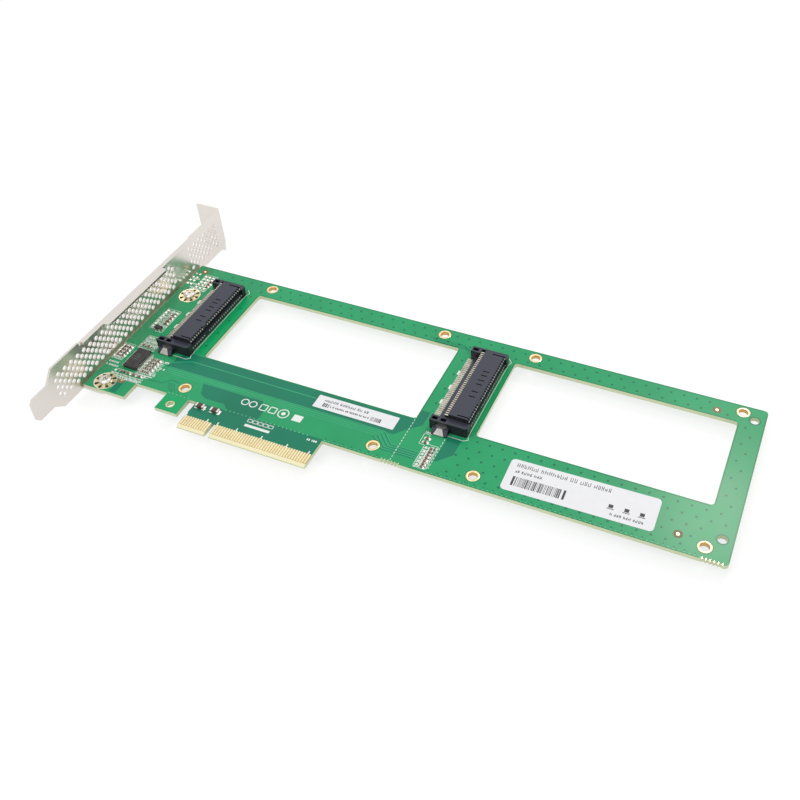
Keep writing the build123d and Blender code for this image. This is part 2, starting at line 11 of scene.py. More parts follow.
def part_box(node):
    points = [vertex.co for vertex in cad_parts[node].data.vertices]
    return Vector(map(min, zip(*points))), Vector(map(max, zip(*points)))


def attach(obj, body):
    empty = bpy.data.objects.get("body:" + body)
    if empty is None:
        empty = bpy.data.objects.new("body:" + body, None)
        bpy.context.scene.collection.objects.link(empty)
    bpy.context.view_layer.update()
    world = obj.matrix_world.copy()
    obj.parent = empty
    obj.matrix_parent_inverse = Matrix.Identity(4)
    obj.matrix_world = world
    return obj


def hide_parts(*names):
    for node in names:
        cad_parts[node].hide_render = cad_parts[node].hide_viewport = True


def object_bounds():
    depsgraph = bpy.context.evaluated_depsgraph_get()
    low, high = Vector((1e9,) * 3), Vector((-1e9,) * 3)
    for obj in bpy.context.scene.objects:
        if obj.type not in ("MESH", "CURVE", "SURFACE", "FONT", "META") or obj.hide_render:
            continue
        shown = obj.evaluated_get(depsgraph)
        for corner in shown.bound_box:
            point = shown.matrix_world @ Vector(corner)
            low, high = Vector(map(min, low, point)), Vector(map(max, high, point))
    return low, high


bl_info = {
    "name": "Adapter card looks",
    "version": (1, 0, 0),
    "blender": (4, 5, 0),
    "location": "View3D > Sidebar > Card",
    "description": "Materials, printing and small trim for a storage adapter card",
    "category": "Object",
}

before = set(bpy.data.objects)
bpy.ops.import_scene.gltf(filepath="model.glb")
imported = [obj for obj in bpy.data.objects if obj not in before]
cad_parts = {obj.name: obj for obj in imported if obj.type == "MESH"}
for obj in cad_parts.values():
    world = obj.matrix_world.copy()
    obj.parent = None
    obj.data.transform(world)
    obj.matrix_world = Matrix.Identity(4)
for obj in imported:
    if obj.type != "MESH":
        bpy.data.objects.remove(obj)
cad_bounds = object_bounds()

# Places on the board are in millimetres from the first drive's lower left hole
MM = 0.001
DRIVE_SPACING = Vector((76.6, 61.72)) * MM
DRIVE_STEP = 113.45 * MM
BORE_RADIUS = 1.65 * MM
RING_RADIUS = 2.5 * MM

board_low, board_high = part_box("circuit_board")
rings_low, rings_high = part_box("drive_1_hole_rings")
first_hole = Vector((rings_low.x + RING_RADIUS, (rings_low.y + rings_high.y - DRIVE_SPACING.y) / 2))
chip_low, chip_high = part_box("buffer_chip_body")
contacts_low, contacts_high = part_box("edge_contacts_component_side")
BOARD_TOP = board_high.z
BOARD_BOTTOM = board_low.z

# Heights of the thin layers on the board
ZONE_LAYER = 0.010 * MM
TRACE_LAYER = 0.018 * MM
PRINT_LAYER = 0.028 * MM
SOLDER_LAYER = 0.050 * MM


def on_board(along, across):
    """Turns millimetres from the first hole into a place on the board."""
    return Vector((first_hole.x + along * MM, first_hole.y + across * MM))


# Mesh helpers

def add_plate(mesh, outline, low, high):
    """Adds a plate with that outline between two heights, open underneath."""
    top = [mesh.verts.new((x, y, high)) for x, y in outline]
    foot = [mesh.verts.new((x, y, low)) for x, y in outline]
    mesh.faces.new(top)
    for i in range(len(outline)):
        mesh.faces.new((top[i - 1], top[i], foot[i], foot[i - 1]))


def add_ring(mesh, middle, inner, outer, low, high, sides=40):
    """Adds a flat ring between two heights, open underneath."""
    turns = [math.tau * i / sides for i in range(sides)]

    def circle(radius, height):
        return [
            mesh.verts.new((middle.x + radius * math.cos(a), middle.y + radius * math.sin(a), height))
            for a in turns
        ]

    inner_top = circle(inner, high)
    outer_top = circle(outer, high)
    inner_foot = circle(inner, low)
    outer_foot = circle(outer, low)
    for i in range(sides):
        mesh.faces.new((inner_top[i - 1], outer_top[i - 1], outer_top[i], inner_top[i]))
        mesh.faces.new((outer_top[i - 1], outer_foot[i - 1], outer_foot[i], outer_top[i]))
        mesh.faces.new((inner_foot[i - 1], inner_top[i - 1], inner_top[i], inner_foot[i]))


def rectangle(middle, width, height):
    """Outline of a rectangle in metres round a middle."""
    return [
        (middle.x - width / 2, middle.y - height / 2),
        (middle.x + width / 2, middle.y - height / 2),
        (middle.x + width / 2, middle.y + height / 2),
        (middle.x - width / 2, middle.y + height / 2),
    ]


def disc(middle, radius, sides=16):
    """Outline of a circle."""
    return [
        (middle.x + radius * math.cos(math.tau * i / sides), middle.y + radius * math.sin(math.tau * i / sides))
        for i in range(sides)
    ]


def strip(points, width):
    """Outline of a band of that width along a line of points, with mitred corners."""
    sides = ([], [])
    for i, point in enumerate(points):
        before = (point - points[i - 1]).normalized() if i else None
        after = (points[i + 1] - point).normalized() if i + 1 < len(points) else None
        before = before or after
        after = after or before
        along = (before + after).normalized()
        reach = width / 2 / max(along.dot(after), 0.3)
        normal = Vector((-along.y, along.x))
        sides[0].append(tuple(point + normal * reach))
        sides[1].append(tuple(point - normal * reach))
    return sides[1] + sides[0][::-1]


def dashes(start, end, dash, gap, width):
    """Outlines of the dashes of a broken line."""
    run = end - start
    along = run.normalized()
    count = int((run.length + gap) / (dash + gap))
    return [
        strip([start + along * i * (dash + gap), start + along * (i * (dash + gap) + dash)], width)
        for i in range(count)
    ]


def make_piece(name, mesh, material, smooth=False):
    """Turns a mesh under construction into a piece that rides on the card."""
    bmesh.ops.recalc_face_normals(mesh, faces=mesh.faces)
    data = bpy.data.meshes.new(name)
    mesh.to_mesh(data)
    mesh.free()
    for polygon in data.polygons:
        polygon.use_smooth = smooth
    piece = bpy.data.objects.new(name, data)
    bpy.context.scene.collection.objects.link(piece)
    data.materials.append(material)
    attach(piece, "root")
    return piece


def plates_piece(name, outlines, low, high, material):
    """Makes one piece out of many thin plates."""
    mesh = bmesh.new()
    for outline in outlines:
        add_plate(mesh, outline, low, high)
    return make_piece(name, mesh, material)


def islands(node):
    """Lowest and highest corners of each separate solid of a CAD node."""
    mesh = bmesh.new()
    mesh.from_mesh(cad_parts[node].data)
    bmesh.ops.remove_doubles(mesh, verts=mesh.verts, dist=0.001 * MM)
    waiting = set(mesh.verts)
    boxes = []
    while waiting:
        found = set()
        edge = [waiting.pop()]
        while edge:
            vertex = edge.pop()
            found.add(vertex)
            for link in vertex.link_edges:
                other = link.other_vert(vertex)
                if other in waiting:
                    waiting.discard(other)
                    edge.append(other)
        low = Vector([min(v.co[axis] for v in found) for axis in range(3)])
        high = Vector([max(v.co[axis] for v in found) for axis in range(3)])
        boxes.append((low, high))
    mesh.free()
    return sorted(boxes, key=lambda box: tuple(box[0]))


# Material helpers

class Shader:
    """A material's node tree, with short names for the nodes that the surfaces share."""

    def __init__(self, name):
        self.material = bpy.data.materials.new(name)
        self.material.use_nodes = True
        self.tree = self.material.node_tree
        self.surface = self.tree.nodes["Principled BSDF"]
        self.place = self.tree.nodes.new("ShaderNodeTexCoord").outputs["Object"]

    def link(self, source, target):
        self.tree.links.new(source, target)

    def node(self, kind, **values):
        made = self.tree.nodes.new(kind)
        for key, value in values.items():
            setattr(made, key, value)
        return made

    def scaled(self, scale):
        mapping = self.node("ShaderNodeMapping")
        mapping.inputs["Scale"].default_value = scale
        self.link(self.place, mapping.inputs["Vector"])
        return mapping.outputs["Vector"]

    def noise(self, scale, detail=3.0, roughness=0.5, stretch=(1, 1, 1)):
        made = self.node("ShaderNodeTexNoise")
        made.inputs["Scale"].default_value = scale
        made.inputs["Detail"].default_value = detail
        made.inputs["Roughness"].default_value = roughness
        self.link(self.scaled(stretch), made.inputs["Vector"])
        return made.outputs["Fac"]

    def ramp(self, source, stops):
        made = self.node("ShaderNodeValToRGB")
        elements = made.color_ramp.elements
        while len(elements) < len(stops):
            elements.new(0.5)
        for element, (position, colour) in zip(elements, stops):
            element.position = position
            element.color = (*colour, 1)
        self.link(source, made.inputs["Fac"])
        return made.outputs["Color"]

    def math(self, operation, first, second):
        made = self.node("ShaderNodeMath", operation=operation)
        for socket, value in zip(made.inputs, (first, second)):
            if isinstance(value, (int, float)):
                socket.default_value = value
            else:
                self.link(value, socket)
        return made.outputs[0]

    def mix(self, factor, first, second):
        made = self.node("ShaderNodeMix", data_type="RGBA")
        self.link(factor, made.inputs["Factor"])
        for socket, value in zip((made.inputs["A"], made.inputs["B"]), (first, second)):
            if isinstance(value, tuple):
                socket.default_value = (*value, 1)
            else:
                self.link(value, socket)
        return made.outputs["Result"]

    def colour(self, source):
        self.link(source, self.surface.inputs["Base Color"])

    def rough(self, source, low, high):
        made = self.node("ShaderNodeMapRange")
        made.inputs["To Min"].default_value = low
        made.inputs["To Max"].default_value = high
        self.link(source, made.inputs["Value"])
        self.link(made.outputs["Result"], self.surface.inputs["Roughness"])

    def bump(self, source, strength, distance):
        made = self.node("ShaderNodeBump")
        made.inputs["Strength"].default_value = strength
        made.inputs["Distance"].default_value = distance
        self.link(source, made.inputs["Height"])
        self.link(made.outputs["Normal"], self.surface.inputs["Normal"])

    def set(self, **values):
        for key, value in values.items():
            self.surface.inputs[key.replace("_", " ").title().replace("Ior", "IOR")].default_value = value


def shade(colour, factor):
    """A lighter or darker version of a colour."""
    return tuple(min(channel * factor, 1.0) for channel in colour)


def mottled(name, colour, roughness, scale, contrast, metallic=0.0, grain=0.0, stretch=(1, 1, 1)):
    """A surface with soft patches of lighter and darker colour, uneven gloss and a fine grain."""
    shader = Shader(name)
    patches = shader.noise(scale, stretch=stretch)
    shader.colour(shader.ramp(patches, [(0.3, shade(colour, 1 - contrast)), (0.7, shade(colour, 1 + contrast))]))
    shader.rough(patches, roughness * 0.8, roughness * 1.25)
    shader.set(metallic=metallic)
    if grain:
        shader.bump(shader.noise(scale * 12, detail=2.0, stretch=stretch), grain, 0.02 * MM)
    return shader


def mask_material(name, colour, looks):
    """Glossy solder mask over a faint glass weave."""
    shader = mottled(name, colour, 0.34, 60, 0.07)
    threads = shader.node("ShaderNodeTexChecker")
    threads.inputs["Scale"].default_value = 1 / (looks.weave_pitch * 2)
    shader.link(shader.place, threads.inputs["Vector"])
    shader.bump(threads.outputs["Fac"], 0.08, 0.01 * MM)
    shader.set(specular_ior_level=0.25, coat_weight=0.12, coat_roughness=0.2)
    return shader


def board_material(looks):
    """Mask on the faces, bare laminate along every cut edge and under the edge contacts."""
    shader = mask_material("solder_mask", tuple(looks.mask_colour), looks)
    mask = shader.surface.inputs["Base Color"].links[0].from_socket
    layers = shader.node("ShaderNodeTexWave", bands_direction="Z")
    layers.inputs["Scale"].default_value = math.pi / (10 * looks.layer_pitch)
    shader.link(shader.place, layers.inputs["Vector"])
    laminate = shader.ramp(
        layers.outputs["Fac"],
        [(0.0, shade(looks.laminate_colour, 0.93)), (1.0, shade(looks.laminate_colour, 1.04))],
    )
    bare = shader.ramp(
        shader.noise(900), [(0.3, shade(looks.finger_colour, 0.92)), (0.7, shade(looks.finger_colour, 1.06))]
    )
    split = shader.node("ShaderNodeSeparateXYZ")
    shader.link(shader.place, split.inputs["Vector"])
    below_mask = shader.math("MULTIPLY",
                             shader.math("LESS_THAN", split.outputs["Y"], contacts_high.y + 0.35 * MM),
                             shader.math("GREATER_THAN", split.outputs["X"], contacts_low.x - 1.6 * MM))
    faces = shader.mix(below_mask, mask, bare)
    geometry = shader.node("ShaderNodeNewGeometry")
    normal = shader.node("ShaderNodeSeparateXYZ")
    shader.link(geometry.outputs["True Normal"], normal.inputs["Vector"])
    steepness = shader.math("ABSOLUTE", normal.outputs["Z"], 0)
    bevelled = shader.mix(shader.math("LESS_THAN", steepness, 0.98), faces, (0.88, 0.82, 0.52))
    shader.colour(shader.mix(shader.math("LESS_THAN", steepness, 0.3), bevelled, laminate))
    return shader.material


def metal_material(name, colour, roughness, scale=400, grain=0.15, stretch=(1, 1, 1), contrast=0.05):
    """Plated metal with uneven gloss."""
    shader = mottled(name, colour, roughness, scale, contrast, metallic=1.0, grain=grain, stretch=stretch)
    return shader.material


def steel_material(looks):
    """Rolled and plated sheet steel: near mirror, with faint streaks along its length."""
    shader = Shader("plated_sheet")
    streaks = shader.noise(260, detail=6.0, stretch=(1, 0.06, 1))
    clouds = shader.noise(30, detail=2.0)
    colour = tuple(looks.steel_colour)
    shader.colour(shader.ramp(clouds, [(0.3, shade(colour, 0.96)), (0.7, shade(colour, 1.03))]))
    shader.rough(streaks, 0.22, 0.36)
    shader.bump(streaks, 0.06, 0.01 * MM)
    shader.set(metallic=1.0)
    return shader.material


def moulding_material():
    """Dark glass-filled plastic: near black, with a painted violet sheen on its upper faces where they catch the light.
    """
    shader = mottled("moulded_housing", (0.010, 0.010, 0.014), 0.42, 500, 0.25, grain=0.2)
    sides = shader.surface.inputs["Base Color"].links[0].from_socket
    geometry = shader.node("ShaderNodeNewGeometry")
    normal = shader.node("ShaderNodeSeparateXYZ")
    shader.link(geometry.outputs["True Normal"], normal.inputs["Vector"])
    # Upward faces get a lighter violet colour: painted sheen for the light the top catches, while the sides keep the
    # near-black colour
    painted_sheen_faces = shader.math("GREATER_THAN", normal.outputs["Z"], 0.5)
    shader.colour(shader.mix(painted_sheen_faces, sides, (0.036, 0.040, 0.060)))
    shader.set(coat_weight=0.15, coat_roughness=0.3, specular_ior_level=0.35)
    return shader.material


def paper_material():
    """White label stock with a faint cool tint."""
    shader = mottled("label_stock", (0.80, 0.815, 0.84), 0.6, 300, 0.02, grain=0.1)
    return shader.material


class CardLooks(bpy.types.PropertyGroup):
    """Colours and sizes of the card's surfaces."""

    mask_colour: bpy.props.FloatVectorProperty(
        name="Mask", description="Solder mask over the copper planes",
        subtype="COLOR", default=(0.016, 0.330, 0.128), min=0, max=1,
    )
    teal_colour: bpy.props.FloatVectorProperty(
        name="Mask over traces", description="Solder mask where no copper plane lies under it",
        subtype="COLOR", default=(0.004, 0.190, 0.105), min=0, max=1,
    )
    clear_colour: bpy.props.FloatVectorProperty(
        name="Mask on laminate", description="Solder mask over bare board without copper",
        subtype="COLOR", default=(0.002, 0.36, 0.115), min=0, max=1,
    )
    edge_colour: bpy.props.FloatVectorProperty(
        name="Mask at the edges", description="Solder mask over the gap between planes and cut edges",
        subtype="COLOR", default=(0.004, 0.22, 0.08), min=0, max=1,
    )
    trace_colour: bpy.props.FloatVectorProperty(
        name="Trace", description="Solder mask on top of a trace",
        subtype="COLOR", default=(0.050, 0.410, 0.200), min=0, max=1,
    )
    laminate_colour: bpy.props.FloatVectorProperty(
        name="Laminate", description="Cut edge of the board",
        subtype="COLOR", default=(0.66, 0.72, 0.47), min=0, max=1,
    )
    finger_colour: bpy.props.FloatVectorProperty(
        name="Bare laminate", description="Board between the edge contacts",
        subtype="COLOR", default=(0.50, 0.37, 0.15), min=0, max=1,
    )
    gold_colour: bpy.props.FloatVectorProperty(
        name="Gold", description="Gold plating on rings and lands",
        subtype="COLOR", default=(0.87, 0.73, 0.40), min=0, max=1,
    )
    contact_colour: bpy.props.FloatVectorProperty(
        name="Edge contacts", description="Hard gold on the edge contacts",
        subtype="COLOR", default=(0.96, 0.82, 0.50), min=0, max=1,
    )
    steel_colour: bpy.props.FloatVectorProperty(
        name="Bracket", description="Plated steel of the bracket",
        subtype="COLOR", default=(0.74, 0.70, 0.655), min=0, max=1,
    )
    print_colour: bpy.props.FloatVectorProperty(
        name="Print", description="White legend ink",
        subtype="COLOR", default=(0.80, 0.84, 0.80), min=0, max=1,
    )
    weave_pitch: bpy.props.FloatProperty(
        name="Weave", description="Distance between threads of glass cloth",
        unit="LENGTH", default=0.5 * MM, min=0.1 * MM,
    )
    layer_pitch: bpy.props.FloatProperty(
        name="Layers", description="Distance between inner layers on a cut edge",
        unit="LENGTH", default=0.4 * MM, min=0.1 * MM,
    )


class StageLooks(bpy.types.PropertyGroup):
    """Light and camera of the studio."""

    sky_strength: bpy.props.FloatProperty(
        name="Sky", description="Strength of the even white surroundings on matt surfaces", default=0.72, min=0,
    )
    key_power: bpy.props.FloatProperty(
        name="Key light", description="Power of the large light over the camera",
        unit="POWER", default=1.9, min=0,
    )
    glare_power: bpy.props.FloatProperty(
        name="Glare light", description="Power of the light that shines off the card's far end",
        unit="POWER", default=0.50, min=0,
    )
    lens: bpy.props.FloatProperty(
        name="Lens", description="Focal length on a 36 mm sensor", subtype="DISTANCE_CAMERA", default=44.54,
    )


def looks():
    """The card's colours and sizes as the user set them."""
    return bpy.context.scene.card_looks


def found_material(name, maker):
    """A material that is made once and then shared."""
    return bpy.data.materials.get(name) or maker()


def print_material():
    """White legend ink, a little thin in places."""
    colour = tuple(looks().print_colour)
    return found_material("legend_ink", lambda: mottled("legend_ink", colour, 0.55, 2500, 0.08).material)


def ink_material():
    """Dark ink of the labels' print."""
    return found_material("label_ink", lambda: mottled("label_ink", (0.05, 0.05, 0.06), 0.6, 3000, 0.3).material)


def gold_material():
    return found_material(
        "gold_plating", lambda: metal_material("gold_plating", tuple(looks().gold_colour), 0.3, grain=0.04, contrast=0.08)
    )


def tin_material():
    return found_material("tin_plating", lambda: metal_material("tin_plating", (0.80, 0.79, 0.76), 0.28, contrast=0.10))


def teal_material():
    return found_material(
        "mask_without_plane",
        lambda: mask_material("mask_without_plane", tuple(looks().teal_colour), looks()).material,
    )


# Operators, one for each group of pieces

class CARD_OT_solid_materials(bpy.types.Operator):
    """Gives every carried-over solid its finished surface"""

    bl_idname = "card.solid_materials"
    bl_label = "Solids"

    def execute(self, context):
        board = board_material(looks())
        steel = steel_material(looks())
        moulding = moulding_material()
        epoxy = mottled("chip_epoxy", (0.035, 0.033, 0.032), 0.5, 900, 0.3, grain=0.3).material
        ceramic = mottled("ceramic_body", (0.20, 0.13, 0.08), 0.4, 1500, 0.3, grain=0.2).material
        tails = metal_material("tail_plating", (0.56, 0.52, 0.45), 0.35, contrast=0.15)
        clips = metal_material("clip_plating", (0.54, 0.53, 0.50), 0.34, contrast=0.15)
        lands = metal_material("land_plating", (0.76, 0.67, 0.38), 0.3, grain=0.04, contrast=0.10)
        edge_gold = metal_material("edge_gold", tuple(looks().contact_colour), 0.24, contrast=0.08)
        brown = mottled("capacitor_body", (0.075, 0.035, 0.022), 0.35, 900, 0.3, grain=0.2).material
        finishes = {
            "circuit_board": board,
            "bracket": steel,
            "bracket_screws": steel,
            "buffer_chip_body": epoxy,
            "regulator_body": epoxy,
            "small_parts": ceramic,
            "screw_lands": lands,
            "edge_capacitor_bodies": brown,
            "product_label": paper_material(),
        }
        finishes["serial_label"] = finishes["product_label"]
        for name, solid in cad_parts.items():
            if "housing" in name:
                material = moulding
            elif name in finishes:
                material = finishes[name]
            elif "tails" in name:
                material = tails
            elif "clips" in name:
                material = clips
            elif "edge_contacts" in name:
                material = edge_gold
            elif name == "fiducials" or "contacts" in name or "rings" in name:
                material = gold_material()
            else:
                material = tin_material()
            for slot in solid.material_slots:
                slot.material = material
        return {"FINISHED"}


class CARD_OT_mask_zones(bpy.types.Operator):
    """Lays the darker mask where the copper planes stop"""

    bl_idname = "card.mask_zones"
    bl_label = "Mask zones"

    def execute(self, context):
        zones = [
            [(-12.4, 9.8), (-13.6, 7.3), (81.0, 7.3), (83.8, 10.6), (88.6, 14.9), (88.6, 21.4), (84.9, 21.4),
             (84.9, 16.6), (-5.0, 16.6), (-8.6, 16.6), (-12.4, 13.2)],
            [(4.8, 4.9), (30.2, 4.9), (33.3, 0.3), (33.3, -4.0), (59.4, -4.0), (59.4, -11.9), (8.1, -11.9),
             (8.1, -4.4), (20.6, -4.4), (18.2, -1.9), (10.0, -1.9), (7.2, -0.4)],
            [(99.1, 13.8), (103.9, 13.8), (103.9, 5.9), (99.6, 1.4), (98.6, 1.4)],
            [(-25.2, -6.0), (-22.7, -6.0), (-22.7, -11.6), (-25.2, -11.6)],
        ]
        outlines = [[tuple(on_board(*point)) for point in zone] for zone in zones]
        plates_piece("mask_zones", outlines, BOARD_TOP, BOARD_TOP + ZONE_LAYER, teal_material())
        hole = [(-0.1 + 1.75 * math.cos(math.tau * i / 24), -9.1 + 1.75 * math.sin(math.tau * i / 24))
                for i in range(25)]
        clear = [
            [(4.3, -9.1), (4.3, -4.9), (-4.1, -4.9), (-4.1, -12.1), (4.3, -12.1), (4.3, -9.102), *hole[::-1]],
            [(-7.6, 17.6), (-3.4, 17.6), (-3.4, 56.2), (-7.6, 56.2)],
            [(104.9, 17.6), (107.2, 17.6), (107.2, 56.2), (104.9, 56.2)],
        ]
        outlines = [[tuple(on_board(*point)) for point in zone] for zone in clear]
        bright = mask_material("mask_on_laminate", tuple(looks().clear_colour), looks()).material
        plates_piece("clear_zones", outlines, BOARD_TOP, BOARD_TOP + ZONE_LAYER, bright)
        # The planes stop a little short of the far edges and the windows
        lines = [((-34.4, 64.85), (196.4, 64.85)), ((197.95, 63.3), (197.95, -2.9)), ((62.0, -4.5), (81.0, -4.5)),
                 ((92.0, -4.5), (189.0, -4.5))]
        for left, foot, right, head in ((-3.3, 16.7, 85.2, 56.7), (107.2, 16.7, 189.5, 56.7)):
            lines += [((left, foot + 1), (left, head - 1)), ((left + 1, head), (right - 1, head)),
                      ((right, head - 1), (right, foot + 1)), ((right - 1, foot), (left + 1, foot))]
        bands = [strip([on_board(*start), on_board(*end)], 0.4 * MM) for start, end in lines]
        dark = mask_material("mask_at_edge", tuple(looks().edge_colour), looks()).material
        plates_piece("edge_bands", bands, BOARD_TOP, BOARD_TOP + TRACE_LAYER, dark)
        return {"FINISHED"}


class CARD_OT_traces(bpy.types.Operator):
    """Runs the traces that show under the mask"""

    bl_idname = "card.traces"
    bl_label = "Traces"

    def execute(self, context):
        material = mask_material("mask_on_trace", tuple(looks().trace_colour), looks()).material
        width = 0.3 * MM
        outlines = []
        outlines.append(strip([on_board(*p) for p in [(-12.4, 9.9), (-5.5, 12.9), (47.4, 12.9)]], width))
        # The pairs that run from the clock chip's side to the second receptacle
        lane_step = 0.95
        dark = []
        for lane in range(4):
            height = 7.5 - lane * lane_step
            turn = 77.6 - lane * 0.95
            low = 2.9 - lane * lane_step
            points = [(-12.0, height), (turn, height), (turn + height - low, low), (92.4, low)]
            outlines.append(strip([on_board(*p) for p in points], 0.24 * MM))
            shaded = [(x, y - lane_step / 2) for x, y in points[1:]]
            dark.append(strip([on_board(*p) for p in shaded], 0.34 * MM))
        # The line from the chip past the first drive hole
        points = [(-19.0, -1.3), (-9.8, -1.0), (-6.9, 1.8), (-3.4, 1.3)]
        dark.append(strip([on_board(*p) for p in points], 0.36 * MM))
        for slant in range(5):
            start = -7.6 + slant * 0.7
            dark.append(strip([on_board(start, 0.4), on_board(start + 2.6, -3.4)], 0.18 * MM))
            start = 16.4 + slant * 0.8
            dark.append(strip([on_board(start, 0.4), on_board(start + 3.6, -3.4)], 0.18 * MM))
        for slant in range(4):
            start = 26.8 + slant * 0.9
            dark.append(strip([on_board(start, 0.0), on_board(start + 2.8, -3.2)], 0.18 * MM))
        # Fan of traces behind the second receptacle's far end
        for lane in range(4):
            reach = 0.9 * lane
            points = [(72.0 + reach, 58.6 - lane * 0.6), (86.4 + reach, 58.6 - lane * 0.6), (89.2 + reach, 54.6)]
            dark.append(strip([on_board(*p) for p in points], 0.2 * MM))
        plates_piece("mask_traces", outlines, BOARD_TOP, BOARD_TOP + TRACE_LAYER, material)
        plates_piece("mask_gaps", dark, BOARD_TOP, BOARD_TOP + TRACE_LAYER, teal_material())
        return {"FINISHED"}


class CARD_OT_vias(bpy.types.Operator):
    """Sets the staggered vias of the far half and the stitching along the edges"""

    bl_idname = "card.vias"
    bl_label = "Vias"

    def execute(self, context):
        pitch = 4.6
        via_radius = 0.46 * MM
        dots = []
        keep_out = [(121.6, -1.0, 175.2, 14.2), (106.4, 15.6, 190.4, 57.6), (-4.2, 15.6, 86.2, 57.6),
                    (-36.4, -12.0, 92.5, 20.5), (-24.6, 14.0, -7.2, 58.6), (89.2, 14.0, 106.3, 58.6),
                    (-36.4, 20.0, -24.0, 66.0), (84.0, -6.0, 104.0, 14.6)]
        bosses = [(0, 0), (76.6, 0), (113.45, 0), (190.05, 0), (0, 61.72), (76.6, 61.72), (113.45, 61.72),
                  (190.05, 61.72), (194.4, 58.95), (194.4, 4.75), (181.3, 59.6), (181.3, 1.8)]
        for row in range(17):
            for column in range(50):
                along = -33.4 + column * pitch + (row % 2) * pitch / 2
                across = -1.5 + row * pitch * 0.87
                covered = any(low < along < high and foot < across < head for low, foot, high, head in keep_out)
                near = any(math.hypot(along - x, across - y) < 3.4 for x, y in bosses)
                if along < 196.5 and across < 63.5 and not covered and not near:
                    dots.append(disc(on_board(along, across), via_radius, 10))
        for start, across, end in ((98.8, -3.4, 189.6), (-4.0, -3.4, 5.2), (60.2, -3.4, 81.6)):
            for index in range(int((end - start) / 3.3) + 1):
                dots.append(disc(on_board(start + index * 3.3, across), 0.3 * MM, 10))
        deep = mask_material("mask_on_via", shade(looks().teal_colour, 0.8), looks()).material
        plates_piece("plane_vias", dots, BOARD_TOP, BOARD_TOP + TRACE_LAYER, deep)
        # Pale stitching dots along the lower edge and the fingers
        stitches = []
        step = 1.65
        runs = [(60.2, -4.15, 81.6), (98.8, -4.15, 189.6), (-4.0, -4.1, 5.2), (20.4, -4.1, 55.0)]
        for start, across, end in runs:
            for index in range(int((end - start) / step) + 1):
                stitches.append(disc(on_board(start + index * step, across), 0.24 * MM, 10))
        pale = mask_material("mask_on_stitch", (0.16, 0.55, 0.30), looks()).material
        plates_piece("stitching", stitches, BOARD_TOP, BOARD_TOP + TRACE_LAYER, pale)
        # Plated ticks between the break-off perforations of the lower edge
        perforations = []
        for start in (81.98, 190.08):
            for index in range(6):
                perforations.append(rectangle(on_board(start + index * 1.25, -4.3), 0.3 * MM, 0.7 * MM))
        plates_piece("perforations", perforations, BOARD_TOP, BOARD_TOP + PRINT_LAYER, gold_material())
        return {"FINISHED"}


